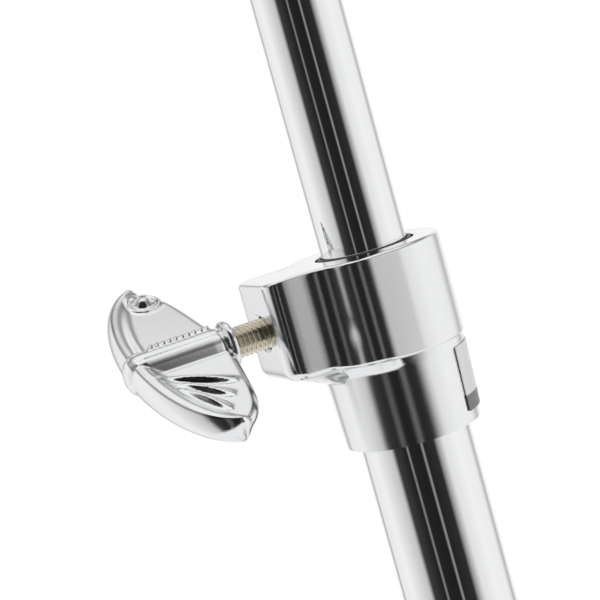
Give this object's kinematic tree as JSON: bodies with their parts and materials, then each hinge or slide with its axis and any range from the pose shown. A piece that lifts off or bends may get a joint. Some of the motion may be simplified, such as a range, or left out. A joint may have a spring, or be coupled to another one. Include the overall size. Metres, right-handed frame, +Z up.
{
  "type": "hi-hat stand",
  "caption": "Hi-hat stand: braced folding tripod, chain-driven slotted pedal, telescopic chromed tube with cast height collar and wing bolt, tilting cymbal seat and rod clutch.",
  "frame": {"origin": "on the floor under the tube's axis, on the underside of the base frame's foot bar", "axes": "+Z up along the tube, the pedal points along -Y, the height wing bolt along -X"},
  "size_m": [0.5762, 0.693, 1.16],
  "materials": {
    "chrome": "polished",
    "polished_alloy": "polished",
    "bright_steel": "bright",
    "black_nylon": "satin",
    "brass": "plain",
    "black_rubber": "matt",
    "grey_felt": "felt"
  },
  "bodies": {
    "stand": {"base_frame": "polished_alloy", "lower_tube": "chrome", "lower_collar": "chrome", "height_collar": "chrome", "height_bushing": "black_nylon", "height_shoe": "brass", "heel_plate": "polished_alloy", "heel_pin": "polished_alloy", "radius_rod_left": "chrome", "radius_rod_right": "chrome", "spring_seat": "bright_steel", "return_spring": "bright_steel"},
    "dial": {"tension_dial": "polished_alloy"},
    "leg_slider": {"leg_collar": "chrome"},
    "leg_bolt": {"leg_wing": "chrome", "leg_stud": "bright_steel"},
    "leg_a": {"leg_1": "chrome", "leg_1_top_rivet": "chrome", "leg_1_strut_rivet": "chrome", "foot_1": "black_rubber"},
    "leg_b": {"leg_2": "chrome", "leg_2_top_rivet": "chrome", "leg_2_strut_rivet": "chrome", "foot_2": "black_rubber"},
    "leg_c": {"leg_3": "chrome", "leg_3_top_rivet": "chrome", "leg_3_strut_rivet": "chrome", "foot_3": "black_rubber"},
    "strut_a": {"strut_1": "chrome"},
    "strut_b": {"strut_2": "chrome"},
    "strut_c": {"strut_3": "chrome"},
    "height_bolt": {"height_wing": "chrome", "height_stud": "bright_steel"},
    "mast": {"upper_tube": "chrome", "seat_holder": "chrome", "seat_hinge_pin": "bright_steel"},
    "seat": {"seat_cup": "black_nylon", "seat_felt": "grey_felt"},
    "seat_screw": {"tilt_screw": "bright_steel"},
    "pedal": {"footboard": "polished_alloy", "toe_clamp": "chrome", "toe_bolt": "chrome"},
    "pull_rod": {"lower_rod": "bright_steel", "upper_rod": "bright_steel", "rod_yoke": "chrome", "yoke_pin": "chrome"},
    "chain": {"chain_link_1": "bright_steel", "chain_link_2": "bright_steel", "chain_link_3": "bright_steel", "chain_link_4": "bright_steel"},
    "clutch": {"clutch_body": "chrome", "clutch_felt_lower": "grey_felt", "clutch_felt_upper": "grey_felt"},
    "clutch_nut": {"clutch_bottom_nut": "chrome"},
    "clutch_lock": {"clutch_lock_nut": "chrome"},
    "clutch_bolt": {"clutch_wing": "chrome", "clutch_stud": "bright_steel"}
  },
  "joints": [
    {"name": "leg_fold", "type": "slide", "parent": "stand", "child": "leg_slider", "axis": [0, 0, 1], "range_m": [0, 0.04298]},
    {"name": "leg_a_hinge", "type": "hinge", "parent": "leg_slider", "child": "leg_a", "pos_m": [0, 0.03, 0.44], "axis": [-1, 0, 0], "range_deg": [0, 26.1]},
    {"name": "leg_b_hinge", "type": "hinge", "parent": "leg_slider", "child": "leg_b", "pos_m": [-0.02598, -0.015, 0.44], "axis": [0.5, -0.866, 0], "range_deg": [0, 26.1]},
    {"name": "leg_c_hinge", "type": "hinge", "parent": "leg_slider", "child": "leg_c", "pos_m": [0.02598, -0.015, 0.44], "axis": [0.5, 0.866, 0], "range_deg": [0, 26.1]},
    {"name": "strut_a_hinge", "type": "hinge", "parent": "leg_a", "child": "strut_a", "pos_m": [0, 0.10453, 0.3295], "axis": [-1, 0, 0], "range_deg": [-52.2, 0]},
    {"name": "strut_b_hinge", "type": "hinge", "parent": "leg_b", "child": "strut_b", "pos_m": [-0.09053, -0.05227, 0.3295], "axis": [0.5, -0.866, 0], "range_deg": [-52.2, 0]},
    {"name": "strut_c_hinge", "type": "hinge", "parent": "leg_c", "child": "strut_c", "pos_m": [0.09053, -0.05227, 0.3295], "axis": [0.5, 0.866, 0], "range_deg": [-52.2, 0]},
    {"name": "leg_bolt_turn", "type": "hinge", "parent": "leg_slider", "child": "leg_bolt", "pos_m": [-0.02598, 0.015, 0.44], "axis": [-0.866, 0.5, 0], "continuous": true},
    {"name": "height_bolt_turn", "type": "hinge", "parent": "stand", "child": "height_bolt", "pos_m": [-0.0322, 0, 0.6059], "axis": [-1, 0, 0], "continuous": true},
    {"name": "height_slide", "type": "slide", "parent": "stand", "child": "mast", "axis": [0, 0, 1], "range_m": [-0.1, 0.05]},
    {"name": "seat_tilt", "type": "hinge", "parent": "mast", "child": "seat", "pos_m": [-0.0185, 0, 0.8668], "axis": [0, -1, 0], "range_deg": [0, 7]},
    {"name": "tilt_screw_turn", "type": "hinge", "parent": "mast", "child": "seat_screw", "pos_m": [0.017, 0, 0.86], "axis": [0, 0, 1], "continuous": true},
    {"name": "dial_turn", "type": "hinge", "parent": "stand", "child": "dial", "pos_m": [0, 0, 0.1485], "axis": [0, 0, 1], "continuous": true},
    {"name": "pedal_press", "type": "hinge", "parent": "stand", "child": "pedal", "pos_m": [0, -0.262, 0.03], "axis": [-1, 0, 0], "range_deg": [0, 9.4], "stiffness_Nm_per_rad": 14, "springref_deg": -14.32},
    {"name": "rod_pull", "type": "slide", "parent": "stand", "child": "pull_rod", "axis": [0, 0, -1], "range_m": [0, 0.0436], "deforming": ["return_spring"]},
    {"name": "chain_swing", "type": "hinge", "parent": "pull_rod", "child": "chain", "pos_m": [0, 0, 0.1328], "axis": [1, 0, 0], "range_deg": [0, 5.7]},
    {"name": "clutch_slide", "type": "slide", "parent": "pull_rod", "child": "clutch", "axis": [0, 0, 1], "range_m": [-0.015, 0.06]},
    {"name": "clutch_nut_turn", "type": "hinge", "parent": "clutch", "child": "clutch_nut", "pos_m": [0, 0, 1.01], "axis": [0, 0, 1], "continuous": true},
    {"name": "clutch_lock_turn", "type": "hinge", "parent": "clutch", "child": "clutch_lock", "pos_m": [0, 0, 1.0379], "axis": [0, 0, 1], "continuous": true},
    {"name": "clutch_bolt_turn", "type": "hinge", "parent": "clutch", "child": "clutch_bolt", "pos_m": [-0.015, 0, 1.0599], "axis": [-1, 0, 0], "continuous": true}
  ],
  "couplings": [
    {"joint": "leg_a_hinge", "follows": "leg_fold", "rad_per_m": 10.558},
    {"joint": "leg_b_hinge", "follows": "leg_fold", "rad_per_m": 10.558},
    {"joint": "leg_c_hinge", "follows": "leg_fold", "rad_per_m": 10.558},
    {"joint": "strut_a_hinge", "follows": "leg_fold", "rad_per_m": -21.116},
    {"joint": "strut_b_hinge", "follows": "leg_fold", "rad_per_m": -21.116},
    {"joint": "strut_c_hinge", "follows": "leg_fold", "rad_per_m": -21.116},
    {"joint": "rod_pull", "follows": "pedal_press", "m_per_rad": 0.26508},
    {"joint": "chain_swing", "follows": "pedal_press", "ratio": 0.5979}
  ]
}
